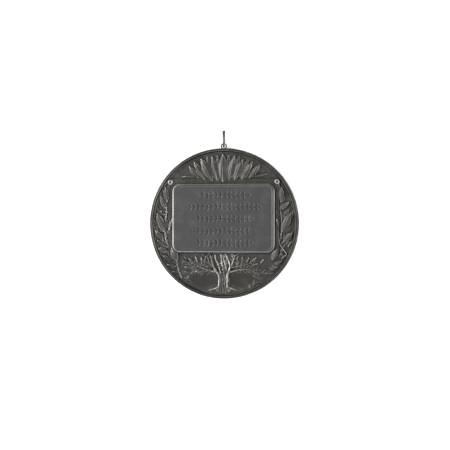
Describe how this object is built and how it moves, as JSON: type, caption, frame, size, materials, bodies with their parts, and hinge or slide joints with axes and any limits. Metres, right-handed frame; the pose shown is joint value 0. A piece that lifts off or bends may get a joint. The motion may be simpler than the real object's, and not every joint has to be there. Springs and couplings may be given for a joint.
{
  "type": "award medal",
  "caption": "Round struck metal award medal with a raised blank tablet over a tree and leaf sprays in relief, an eye on its edge and a wire hanging ring.",
  "frame": {"origin": "centre of the medal's flat back, on the surface that it lies on", "axes": "+Z out of the medal's face, +Y from the centre towards the eye and the hanging ring, +X to the right of the face"},
  "size_m": [0.05, 0.056, 0.0059],
  "materials": {
    "oxidised_silver": "antiqued silver plate, dark in the hollows and worn bright on the edges",
    "ring_wire": "drawn silver-coloured wire"
  },
  "bodies": {
    "root": {"medal": "oxidised_silver", "hanging_ring": "ring_wire"}
  },
  "joints": []
}
